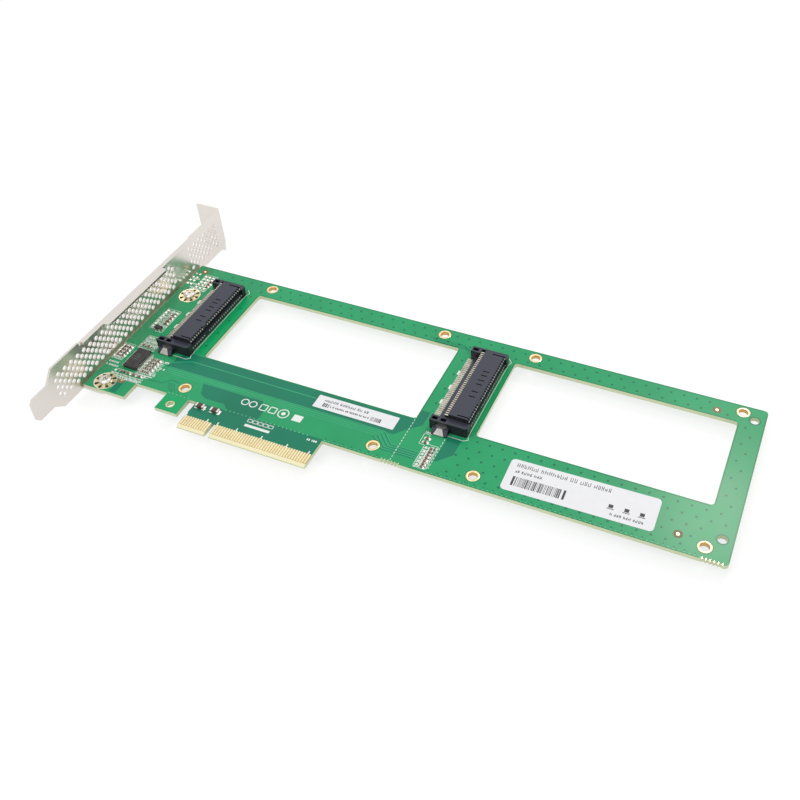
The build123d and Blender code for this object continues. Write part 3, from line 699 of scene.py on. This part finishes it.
class CARD_OT_legend(bpy.types.Operator):
    """Prints the white lines, outlines and plain marks of the board"""

    bl_idname = "card.legend"
    bl_label = "Legend"

    def outline(self, low, high, width=0.16):
        corners = [on_board(low[0], low[1]), on_board(high[0], low[1]), on_board(high[0], high[1]),
                   on_board(low[0], high[1])]
        line = width * MM
        return [strip([corners[i - 1], corners[i]], line) for i in range(4)]

    def words(self, start, across, length, height, spread):
        """A row of short dashes that stands for unreadable lettering."""
        marks = []
        along = start
        while along < start + length:
            width = spread.uniform(0.35, 0.7) * height
            marks.append(rectangle(on_board(along + width / 2, across), width * MM, height * MM))
            along += width + spread.choice((0.25, 0.25, 0.3, 0.9)) * height
        return marks

    def execute(self, context):
        spread = random.Random(7)
        shapes = []
        shapes += dashes(on_board(84.9, 21.0), on_board(84.9, -4.0), 0.8 * MM, 0.7 * MM, 0.22 * MM)
        shapes += dashes(on_board(98.4, 11.6), on_board(98.4, -4.2), 0.8 * MM, 0.7 * MM, 0.22 * MM)
        for along in (8.3, 17.1, 21.4, 29.2, 39.2, 49.3, 57.9):
            shapes.append(strip([on_board(along, -10.3), on_board(along, -11.8)], 0.45 * MM))
        # Footprint outlines of the receptacles
        for step in (0, DRIVE_STEP / MM):
            front = [(-16.2, 13.4), (-8.9, 13.2), (-7.5, 14.2), (-8.1, 15.6), (-8.1, 54.4), (-7.4, 56.0),
                     (-9.0, 57.8)]
            shapes.append(strip([on_board(step + x, y) for x, y in front], 0.22 * MM))
            for across in (44.0, 28.0, 36.0):
                shapes.append(rectangle(on_board(step - 23.6, across), 0.8 * MM, 2.2 * MM))
        # Frames round the blocks of small parts
        frames = [
            ((-36.0, 4.4), (-31.4, 12.9)), ((-21.4, -1.2), (-15.9, 9.2)), ((-29.6, -3.4), (-17.4, -0.4)),
            ((-29.8, 12.2), (-22.7, 19.6)), ((-32.6, 24.2), (-29.9, 36.0)), ((-29.6, 22.6), (-26.6, 36.0)),
            ((-31.0, 50.6), (-25.4, 60.4)), ((93.0, -3.0), (97.9, 7.4)), ((90.8, 6.7), (93.0, 11.6)),
        ]
        for low, high in frames:
            shapes += self.outline(low, high)
        # Unreadable designators in and beside the frames
        rows = [
            (-35.6, 11.9, 3.8), (-35.6, 10.4, 3.8), (-35.6, 8.8, 3.8), (-35.6, 7.2, 3.8), (-35.6, 5.6, 3.8),
            (-20.9, 8.2, 4.6), (-20.9, 6.4, 4.6), (-20.9, 4.7, 4.6), (-20.9, 3.0, 4.6), (-20.9, 1.3, 4.6),
            (-30.5, -4.4, 12.0), (-29.4, 18.7, 6.4), (-29.4, 16.8, 6.4), (-29.4, 14.8, 6.4),
            (-30.6, 59.4, 4.8), (-30.6, 57.4, 4.8), (-30.6, 55.2, 4.8), (-35.4, 56.6, 3.6), (-35.4, 53.4, 3.8),
            (-33.0, 51.2, 2.0), (95.6, 6.4, 2.0), (95.6, 4.9, 2.0), (95.6, 3.4, 2.0), (95.6, 1.9, 2.0),
            (95.6, 0.4, 2.0), (95.6, -1.1, 2.0), (54.2, -5.8, 3.6), (90.9, 12.4, 2.4), (-15.0, 5.2, 2.2),
            (-15.0, 8.8, 1.6), (-16.4, 1.0, 2.4), (-35.6, 2.2, 4.0), (-35.6, 0.4, 5.0),
        ]
        for start, across, length in rows:
            shapes += self.words(start, across, length, 0.85, spread)
        for across in range(6):
            shapes += self.words(-32.2, 25.4 + across * 1.9, 2.0, 0.7, spread)
            shapes += self.words(-29.2, 24.0 + across * 2.1, 2.2, 0.9, spread)
        # Close print over the crowded places round the chip
        crowded = [(-22.2, -0.2, 7.8, 9.6), (-36.0, 4.0, 4.6, 9.4), (-31.0, -4.6, 14.0, 3.4), (-30.2, 12.4, 7.6, 7.4),
                   (-30.8, 50.4, 5.2, 9.8), (-33.2, 23.8, 6.4, 12.2), (93.2, -3.2, 4.2, 10.0)]
        for start, foot, length, height in crowded:
            for step in range(int(height / 0.95)):
                shapes += self.words(start, foot + step * 0.95 + spread.uniform(-0.15, 0.15), length, 0.42, spread)
        plates_piece("legend_print", shapes, BOARD_TOP, BOARD_TOP + PRINT_LAYER, print_material())
        # Plain marks in the open part of the board
        mesh = bmesh.new()
        low, high = BOARD_TOP, BOARD_TOP + PRINT_LAYER
        for along in (24.6, 27.9):
            add_ring(mesh, on_board(along, 1.9), 1.15 * MM, 1.55 * MM, low, high)
        for along in (32.3, 36.0):
            for outline in self.outline((along - 1.3, 0.5), (along + 1.3, 3.2), 0.4):
                add_plate(mesh, outline, low, high)
        add_ring(mesh, on_board(40.4, 1.8), 1.75 * MM, 2.15 * MM, low, high)
        add_plate(mesh, disc(on_board(40.4, 1.8), 0.8 * MM), low, high)
        add_plate(mesh, rectangle(on_board(46.2, 1.6), 3.6 * MM, 3.0 * MM), low, high)
        # A plain revision grid beside the fingers
        for index in range(5):
            corner = 30.4 + index * 2.1
            for outline in self.outline((corner, -6.2), (corner + 1.7, -4.9), 0.24):
                add_plate(mesh, outline, low, high)
        add_plate(mesh, rectangle(on_board(35.4, -7.9), 10.0 * MM, 1.1 * MM), low, high)
        make_piece("legend_marks", mesh, print_material())
        return {"FINISHED"}


class CARD_OT_label_print(bpy.types.Operator):
    """Prints plain bars and dashes on both labels"""

    bl_idname = "card.label_print"
    bl_label = "Label print"

    def box(self, left, foot, right, head):
        return [(left, foot), (right, foot), (right, head), (left, head)]

    def bars(self, start, end, foot, head, spread):
        """Upright bars of uneven width between two ends."""
        outlines = []
        along = start
        while along < end:
            width = spread.choice((0.16, 0.16, 0.3, 0.45))
            outlines.append(self.box(along, foot, along + width, head))
            along += width + spread.choice((0.18, 0.25, 0.4))
        return outlines

    def row(self, start, end, middle, height, spread):
        """Pairs of thin strokes in a row, like lettering too small to read."""
        outlines = []
        stroke = 0.2
        along = start
        while along < end:
            width = spread.uniform(0.4, 0.65) * height
            foot = middle - height / 2
            for left in (along, along + width - stroke):
                outlines.append(self.box(left, foot, left + stroke, foot + height * spread.choice((0.7, 1.0, 1.0))))
            level = foot + spread.choice((0.0, 0.3, 0.5)) * height
            outlines.append(self.box(along + stroke, level, along + width - stroke, level + stroke))
            along += width + spread.choice((0.25, 0.25, 0.3, 0.7)) * height
        return outlines

    def execute(self, context):
        spread = random.Random(11)
        label_low, label_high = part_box("product_label")
        middle = (label_low + label_high) / 2
        tilt = math.radians(1.2)
        wide = self.row(-22.8, 10.0, 4.6, 1.7, spread) + self.row(-22.6, -13.0, 1.8, 1.2, spread)
        wide += self.bars(-21.4, -6.2, -4.4, -0.4, spread) + self.row(11.0, 21.6, -4.6, 1.1, spread)
        wide += [self.box(left, -4.4, left + 0.8, -0.4) for left in (-22.6, -5.2)]
        for place in (9.8, 15.0, 20.0):
            wide.append(self.box(place, -2.2, place + 1.5, -0.8))
            wide.append(self.box(place - 0.4, -2.75, place + 1.9, -2.45))

        def turned(outline):
            return [
                (middle.x + (x * math.cos(tilt) - y * math.sin(tilt)) * MM,
                 middle.y + (x * math.sin(tilt) + y * math.cos(tilt)) * MM)
                for x, y in outline
            ]

        top = label_high.z
        plates_piece("product_label_print", [turned(outline) for outline in wide], top, top + ZONE_LAYER,
                     ink_material())
        label_low, label_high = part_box("serial_label")
        middle = (label_low + label_high) / 2
        narrow = self.row(-12.8, 4.4, 1.2, 1.3, spread) + self.row(-9.6, 5.4, -1.1, 0.8, spread)
        narrow += self.bars(-12.6, -10.4, -2.0, -0.1, spread) + self.bars(6.4, 10.4, -2.0, -0.1, spread)
        placed = [[(middle.x + x * MM, middle.y + y * MM) for x, y in outline] for outline in narrow]
        top = label_high.z
        plates_piece("serial_label_print", placed, top, top + ZONE_LAYER, ink_material())
        return {"FINISHED"}


class CARD_OT_hole_trim(bpy.types.Operator):
    """Lines the drive holes with gold and marks the mask's clearance round holes and dots"""

    bl_idname = "card.hole_trim"
    bl_label = "Hole trim"

    def add_eyelet(self, mesh, middle):
        """Plated hole: a rounded ring on both faces, joined by a lining."""
        sides = 48
        rise = 0.07 * MM
        lip = 0.12 * MM
        lining = BORE_RADIUS - 0.03 * MM
        rim = RING_RADIUS - 0.1 * MM
        half = [(rim, 0), (rim - lip, rise), (lining + lip, rise), (lining, 0)]
        profile = [(radius, BOARD_TOP + height) for radius, height in half]
        profile += [(radius, BOARD_BOTTOM - height) for radius, height in reversed(half)]
        loops = [
            [
                mesh.verts.new((middle.x + radius * math.cos(math.tau * i / sides),
                                middle.y + radius * math.sin(math.tau * i / sides), height))
                for i in range(sides)
            ]
            for radius, height in profile
        ]
        for level, (inner, outer) in enumerate(zip(loops, loops[1:])):
            for i in range(sides):
                face = mesh.faces.new((inner[i - 1], inner[i], outer[i], outer[i - 1]))
                face.material_index = int(level == len(half) - 1)

    def execute(self, context):
        # The bore gets a darker, more orange copy of the gold: painted shade inside the hole
        lining = metal_material("hole_lining_painted_shade", (0.72, 0.42, 0.14), 0.35)
        clearances = bmesh.new()
        for number, step in ((1, 0), (2, DRIVE_STEP)):
            rings = bmesh.new()
            for x in (0, DRIVE_SPACING.x):
                for y in (0, DRIVE_SPACING.y):
                    middle = first_hole + Vector((x + step, y))
                    self.add_eyelet(rings, middle)
                    add_ring(clearances, middle, RING_RADIUS - 0.2 * MM, RING_RADIUS + 0.14 * MM,
                             BOARD_TOP, BOARD_TOP + TRACE_LAYER)
            piece = make_piece(f"drive_{number}_eyelets", rings, gold_material(), smooth=True)
            piece.data.materials.append(lining)
            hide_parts(f"drive_{number}_hole_rings")
        for place in ((194.4, 58.95), (194.4, 4.75)):
            add_ring(clearances, on_board(*place), 1.62 * MM, 2.1 * MM, BOARD_TOP, BOARD_TOP + TRACE_LAYER)
        make_piece("mask_clearances", clearances, teal_material())
        rim = bmesh.new()
        add_ring(rim, on_board(-0.1, -9.1), 1.31 * MM, 1.62 * MM, BOARD_TOP, BOARD_TOP + SOLDER_LAYER)
        make_piece("hold_down_rim", rim, gold_material())
        openings = bmesh.new()
        for low, high in islands("fiducials"):
            middle = ((low + high) / 2).xy
            add_ring(openings, middle, 0.55 * MM, 1.55 * MM, BOARD_TOP, BOARD_TOP + TRACE_LAYER)
        tan = mottled("bare_dot_laminate", (0.20, 0.16, 0.09), 0.5, 900, 0.15).material
        make_piece("fiducial_openings", openings, tan)
        petals = []
        rims = bmesh.new()
        for low, high in islands("screw_lands"):
            middle = ((low + high) / 2).xy
            add_ring(rims, middle, 4.05 * MM, 4.35 * MM, high.z, high.z + TRACE_LAYER)
            for turn in range(8):
                angle = math.tau * turn / 8
                out = Vector((math.cos(angle), math.sin(angle)))
                side = Vector((-out.y, out.x))
                petals.append([
                    tuple(middle + out * reach * MM + side * width * MM)
                    for reach, width in ((2.55, -0.42), (3.7, -0.62), (3.98, -0.3), (3.98, 0.3), (3.7, 0.62),
                                         (2.55, 0.42))
                ])
            top = high.z
        # Near-black plates over the land stand for its open vias: painted shade where the holes are
        dark = mottled("open_via_painted_shade", (0.020, 0.026, 0.014), 0.6, 900, 0.3).material
        plates_piece("land_vias", petals, top, top + ZONE_LAYER, dark)
        make_piece("land_rims", rims, tin_material())
        return {"FINISHED"}


class CARD_OT_small_part_ends(bpy.types.Operator):
    """Caps the small parts with tin and sets them in solder"""

    bl_idname = "card.small_part_ends"
    bl_label = "Small part ends"

    def execute(self, context):
        caps = bmesh.new()
        cap_length = 0.36 * MM
        skin = 0.03 * MM
        for low, high in islands("small_parts"):
            for end in (low.x, high.x - cap_length):
                outline = [
                    (end - skin, low.y - skin), (end + cap_length + skin, low.y - skin),
                    (end + cap_length + skin, high.y + skin), (end - skin, high.y + skin),
                ]
                add_plate(caps, outline, BOARD_TOP, high.z + skin)
        bmesh.ops.bevel(
            caps, geom=[e for e in caps.edges if not e.is_boundary], offset=0.06 * MM, segments=2, affect="EDGES"
        )
        make_piece("small_part_caps", caps, tin_material())
        pads = []
        for low, high in islands("small_parts"):
            for end in (low.x, high.x):
                pads.append(rectangle(Vector((end, (low.y + high.y) / 2)), 0.9 * MM, 1.0 * MM))
        blocks = [(-35.6, 5.4, 2, 5, 2.0, 1.5), (-22.4, -0.6, 4, 6, 1.7, 1.7), (-30.0, -2.8, 6, 2, 2.0, 1.5),
                  (-29.0, 13.6, 4, 4, 1.8, 1.7), (-32.2, 25.0, 1, 7, 1.5, 1.7), (-29.2, 24.0, 2, 7, 1.5, 1.8),
                  (-30.4, 52.0, 3, 5, 1.9, 1.8), (-35.4, 53.0, 2, 4, 1.8, 2.2), (94.0, -2.2, 3, 6, 1.5, 1.6)]
        for along, across, columns, rows, pitch_x, pitch_y in blocks:
            for column in range(columns):
                for row in range(rows):
                    middle = on_board(along + column * pitch_x, across + row * pitch_y)
                    pads.append(rectangle(middle, 0.85 * MM, 0.95 * MM))
        for node in ("buffer_chip_leads", "regulator_leads"):
            for low, high in islands(node):
                pads.append(rectangle(((low + high) / 2).xy, high.x - low.x + 0.5 * MM, high.y - low.y + 0.06 * MM))
        for low, high in islands("edge_capacitor_caps"):
            pads.append(rectangle(((low + high) / 2).xy, 1.5 * MM, 2.0 * MM))
        plates_piece("solder_pads", pads, BOARD_TOP, BOARD_TOP + SOLDER_LAYER, tin_material())
        fillets = []
        for number in (1, 2):
            for low, high in islands(f"receptacle_{number}_tails"):
                foot = Vector((low.x + 0.7 * MM, (low.y + high.y) / 2))
                fillets.append(rectangle(foot, 1.9 * MM, 0.9 * MM))
        grey = metal_material("tail_solder", (0.50, 0.49, 0.46), 0.4, contrast=0.2)
        plates_piece("tail_solder", fillets, BOARD_TOP, BOARD_TOP + SOLDER_LAYER, grey)
        return {"FINISHED"}


class CARD_OT_receptacle_tips(bpy.types.Operator):
    """Sets contact tips into both rows of the receptacles' mouths, in a pale matt colour that paints on their glints"""

    bl_idname = "card.receptacle_tips"
    bl_label = "Receptacle tips"

    def execute(self, context):
        mesh = bmesh.new()
        for number in (1, 2):
            housing_low, housing_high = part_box(f"receptacle_{number}_housing")
            front = housing_high.x - 0.5 * MM
            for low, high in islands(f"receptacle_{number}_contacts"):
                middle = (low.y + high.y) / 2
                for foot, head, shift in ((high.z - 0.05 * MM, high.z + 0.55 * MM, 0),
                                          (BOARD_TOP + 1.1 * MM, BOARD_TOP + 1.75 * MM, 0.3 * MM)):
                    outline = rectangle(Vector((front - 0.12 * MM, middle + shift)), 0.3 * MM, 0.34 * MM)
                    add_plate(mesh, outline, foot, head)
        # Pale non-metal colour: painted highlight standing in for the glints on the metal tips
        bright = mottled("contact_tips_painted_glint", (0.74, 0.72, 0.66), 0.35, 1500, 0.12).material
        make_piece("receptacle_tips", mesh, bright)
        return {"FINISHED"}


class CARD_OT_chip_marks(bpy.types.Operator):
    """Rings the pin dimple in grey and lays a plain printed field on the chip"""

    bl_idname = "card.chip_marks"
    bl_label = "Chip marks"

    def execute(self, context):
        mesh = bmesh.new()
        dimple = Vector((chip_low.x + 1.1 * MM, chip_low.y + 1.2 * MM))
        add_ring(mesh, dimple, 0.3 * MM, 0.42 * MM, chip_high.z, chip_high.z + ZONE_LAYER, 24)
        middle = ((chip_low + chip_high) / 2).xy
        for offset in (-1.0, 0.2, 1.4):
            bar = rectangle(Vector((middle.x, middle.y + offset * MM)), 2.4 * MM, 0.4 * MM)
            add_plate(mesh, bar, chip_high.z, chip_high.z + ZONE_LAYER)
        grey = mottled("chip_print", (0.12, 0.12, 0.12), 0.6, 3000, 0.3).material
        make_piece("chip_marks", mesh, grey)
        return {"FINISHED"}


class CARD_OT_screws(bpy.types.Operator):
    """Turns the bracket screws with rounded heads and cross recesses"""

    bl_idname = "card.screws"
    bl_label = "Screws"

    def execute(self, context):
        sides = 32
        mesh = bmesh.new()
        for low, high in islands("bracket_screws"):
            middle = (low + high) / 2
            radius = (high.x - low.x) / 2
            head_foot = BOARD_TOP + 0.06 * MM
            height = high.z - head_foot
            profile = [(radius, head_foot), (radius, head_foot + height * 0.35)]
            for step in range(1, 7):
                angle = math.radians(15 * step)
                profile.append((radius * (0.45 + 0.55 * math.cos(angle)),
                                head_foot + height * (0.35 + 0.65 * math.sin(angle))))
            loops = []
            for reach, level in profile:
                loops.append([
                    mesh.verts.new((middle.x + reach * math.cos(math.tau * i / sides),
                                    middle.y + reach * math.sin(math.tau * i / sides), level))
                    for i in range(sides)
                ])
            for below, above in zip(loops, loops[1:]):
                for i in range(sides):
                    mesh.faces.new((below[i - 1], below[i], above[i], above[i - 1]))
            self.add_recess(mesh, middle, loops[-1], high.z, height)
            self.add_shank(mesh, middle, low.z, head_foot)
        plated = metal_material("screw_plating", (0.78, 0.76, 0.72), 0.22)
        piece = make_piece("screws_detailed", mesh, plated)
        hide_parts("bracket_screws")
        return {"FINISHED"}

    def add_recess(self, mesh, middle, rim, top, height):
        """Closes the head's top round a cross recess that narrows to its floor."""
        arm = 0.95 * MM
        slot = 0.24 * MM
        depth = height * 0.55
        cross = [(slot, slot), (slot, arm), (-slot, arm), (-slot, slot), (-arm, slot), (-arm, -slot),
                 (-slot, -slot), (-slot, -arm), (slot, -arm), (slot, -slot), (arm, -slot), (arm, slot)]
        mouth = [mesh.verts.new((middle.x + x, middle.y + y, top)) for x, y in cross]
        floor = [mesh.verts.new((middle.x + x * 0.55, middle.y + y * 0.55, top - depth)) for x, y in cross]
        for i in range(len(cross)):
            mesh.faces.new((mouth[i - 1], mouth[i], floor[i], floor[i - 1]))
        mesh.faces.new(floor)
        rim_edges = [mesh.edges.get((rim[i - 1], rim[i])) for i in range(len(rim))]
        mouth_edges = [mesh.edges.get((mouth[i - 1], mouth[i])) for i in range(len(mouth))]
        bmesh.ops.triangle_fill(mesh, edges=rim_edges + mouth_edges, use_beauty=True)

    def add_shank(self, mesh, middle, low, high):
        """Threaded shank: a stack of shallow ridges under the head."""
        sides = 24
        outer = 1.23 * MM
        root = 1.05 * MM
        pitch = 0.5 * MM
        levels = []
        level = low
        while level < high:
            levels += [(root, level), (outer, min(level + pitch / 2, high))]
            level += pitch
        loops = []
        for radius, height in levels:
            loops.append([
                mesh.verts.new((middle.x + radius * math.cos(math.tau * i / sides),
                                middle.y + radius * math.sin(math.tau * i / sides), height))
                for i in range(sides)
            ])
        for below, above in zip(loops, loops[1:]):
            for i in range(sides):
                mesh.faces.new((below[i - 1], below[i], above[i], above[i - 1]))
        mesh.faces.new(loops[0])


class CARD_OT_stage(bpy.types.Operator):
    """Sets the floor, the lights and the camera"""

    bl_idname = "card.stage"
    bl_label = "Stage"

    floor_glow: bpy.props.FloatProperty(
        name="Floor glow", description="Share of the floor that stays white in the card's shadow",
        default=0.72, min=0, max=1,
    )

    def area_light(self, name, place, aim, size, power):
        light = bpy.data.lights.new(name, "AREA")
        light.shape = "DISK"
        light.size = size
        light.energy = power
        lamp = bpy.data.objects.new(name, light)
        lamp.location = place
        lamp.rotation_euler = (Vector(aim) - Vector(place)).to_track_quat("-Z", "Y").to_euler()
        bpy.context.scene.collection.objects.link(lamp)
        return lamp

    def floor(self):
        mesh = bmesh.new()
        span = 3.0
        level = cad_bounds[0][2] - 0.05 * MM
        corners = [(-span, -span), (span, -span), (span, span), (-span, span)]
        mesh.faces.new([mesh.verts.new((x, y, level)) for x, y in corners])
        data = bpy.data.meshes.new("floor")
        mesh.to_mesh(data)
        mesh.free()
        floor = bpy.data.objects.new("floor", data)
        bpy.context.scene.collection.objects.link(floor)
        shader = mottled("floor_paper", (0.93, 0.93, 0.93), 0.9, 4, 0.004)
        shader.set(specular_ior_level=0.0)
        glow = shader.node("ShaderNodeEmission")
        glow.inputs["Strength"].default_value = 1.08
        blend = shader.node("ShaderNodeMixShader")
        output = shader.tree.nodes["Material Output"]
        seen = self.seen_directly(shader.tree)
        share = shader.math("MULTIPLY", seen, self.floor_glow)
        shader.link(share, blend.inputs["Fac"])
        shader.link(shader.surface.outputs["BSDF"], blend.inputs[1])
        shader.link(glow.outputs["Emission"], blend.inputs[2])
        shader.link(blend.outputs["Shader"], output.inputs["Surface"])
        data.materials.append(shader.material)

    def seen_directly(self, tree):
        """A value of 1 for what the camera sees, also by reflection or through glass."""
        paths = tree.nodes.new("ShaderNodeLightPath")
        value = paths.outputs["Is Camera Ray"]
        for name in ("Is Glossy Ray", "Is Transmission Ray"):
            either = tree.nodes.new("ShaderNodeMath")
            either.operation = "MAXIMUM"
            tree.links.new(value, either.inputs[0])
            tree.links.new(paths.outputs[name], either.inputs[1])
            value = either.outputs[0]
        return value

    def sky(self, strength):
        world = bpy.data.worlds.new("studio")
        world.use_nodes = True
        tree = world.node_tree
        background = tree.nodes["Background"]
        background.inputs["Color"].default_value = (1, 1, 1, 1)
        level = tree.nodes.new("ShaderNodeMapRange")
        level.inputs["To Min"].default_value = strength
        level.inputs["To Max"].default_value = 1.0
        tree.links.new(self.seen_directly(tree), level.inputs["Value"])
        tree.links.new(level.outputs["Result"], background.inputs["Strength"])
        bpy.context.scene.world = world

    def camera(self, lens):
        place = Vector((0.12348, -0.22283, 0.25469))
        aim = Vector((0.00617, 0.03721, BOARD_TOP))
        roll = math.radians(-1.93)
        data = bpy.data.cameras.new("camera")
        data.lens = lens
        data.sensor_width = 36
        data.shift_x = -0.0699
        data.shift_y = -0.0793
        data.clip_start = 0.01
        camera = bpy.data.objects.new("camera", data)
        camera.location = place
        level = (aim - place).to_track_quat("-Z", "Y")
        camera.rotation_euler = (level @ Quaternion((0, 0, 1), roll)).to_euler()
        bpy.context.scene.collection.objects.link(camera)
        bpy.context.scene.camera = camera

    def execute(self, context):
        stage = context.scene.stage_looks
        self.floor()
        self.sky(stage.sky_strength)
        self.area_light("key", (-0.25, -0.35, 0.8), (0, 0, 0), 0.6, stage.key_power)
        self.area_light("glare", (0.105, 0.29, 0.37), (0.1, 0, 0), 0.08, stage.glare_power)
        bpy.data.lights["glare"].color = (1.0, 0.90, 0.87)
        self.camera(stage.lens)
        context.scene.view_settings.view_transform = "Standard"
        return {"FINISHED"}


class CARD_PT_looks(bpy.types.Panel):
    """Lists the card's pieces and colours"""

    bl_label = "Adapter card"
    bl_space_type = "VIEW_3D"
    bl_region_type = "UI"
    bl_category = "Card"

    def draw(self, context):
        for operator in OPERATORS:
            self.layout.operator(operator.bl_idname, text=operator.bl_label)
        for group in (context.scene.card_looks, context.scene.stage_looks):
            for key in group.__annotations__:
                self.layout.prop(group, key)


OPERATORS = (
    CARD_OT_solid_materials,
    CARD_OT_mask_zones,
    CARD_OT_traces,
    CARD_OT_vias,
    CARD_OT_legend,
    CARD_OT_label_print,
    CARD_OT_hole_trim,
    CARD_OT_small_part_ends,
    CARD_OT_receptacle_tips,
    CARD_OT_chip_marks,
    CARD_OT_screws,
    CARD_OT_stage,
)
CLASSES = (CardLooks, StageLooks, *OPERATORS, CARD_PT_looks)


def register():
    for item in CLASSES:
        bpy.utils.register_class(item)
    bpy.types.Scene.card_looks = bpy.props.PointerProperty(type=CardLooks)
    bpy.types.Scene.stage_looks = bpy.props.PointerProperty(type=StageLooks)


def unregister():
    del bpy.types.Scene.stage_looks
    del bpy.types.Scene.card_looks
    for item in reversed(CLASSES):
        bpy.utils.unregister_class(item)


def main():
    """Makes every piece in order."""
    register()
    for operator in OPERATORS:
        category, name = operator.bl_idname.split(".")
        getattr(getattr(bpy.ops, category), name)()


if __name__ == "__main__":
    main()
